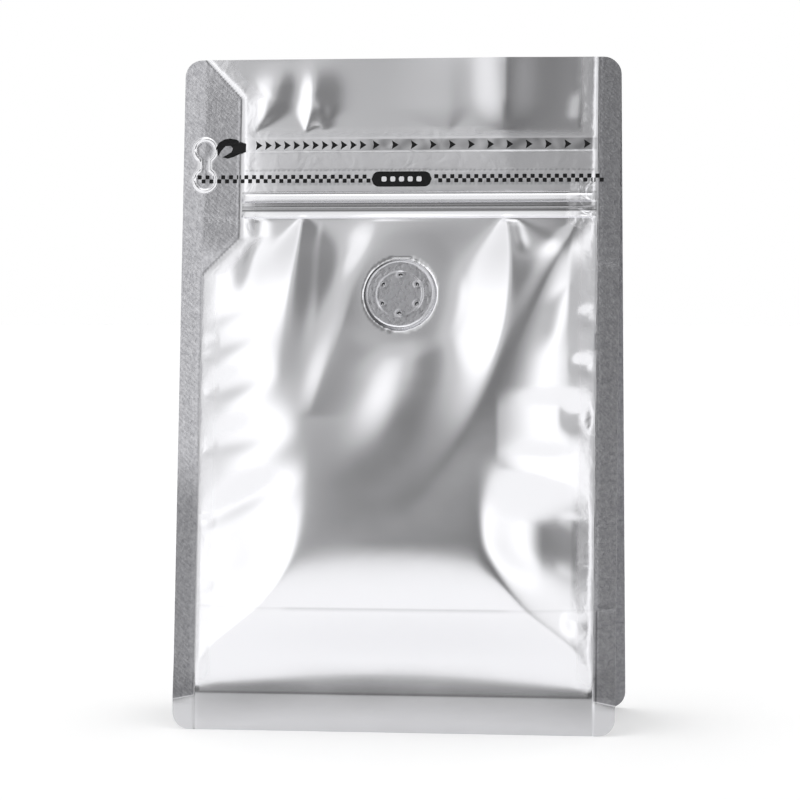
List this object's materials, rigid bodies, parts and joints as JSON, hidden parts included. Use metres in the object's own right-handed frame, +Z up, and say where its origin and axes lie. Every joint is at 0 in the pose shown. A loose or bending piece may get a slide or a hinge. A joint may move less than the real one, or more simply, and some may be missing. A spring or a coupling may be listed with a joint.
{
  "type": "flat-bottom coffee bag",
  "caption": "Shut flat-bottom foil bag that keeps roasted coffee, with folded side gussets, sealed fins, a front pull-tab zipper and a degassing valve.",
  "frame": {"origin": "middle of the base, on the ground the bag stands on", "axes": "+Z up to the mouth, -Y out of the front panel with the valve, +X to the right of someone who looks at the front"},
  "size_m": [0.13, 0.0596, 0.197],
  "materials": {
    "silver_foil": "satin metallised film, finely knurled where it is heat sealed",
    "valve_foil": "satin metallised film pressed tight over a moulded disc",
    "black_ink": "glossy black printing ink on the film"
  },
  "bodies": {
    "root": {"pouch": "silver_foil", "degassing_valve": "valve_foil"}
  },
  "joints": []
}
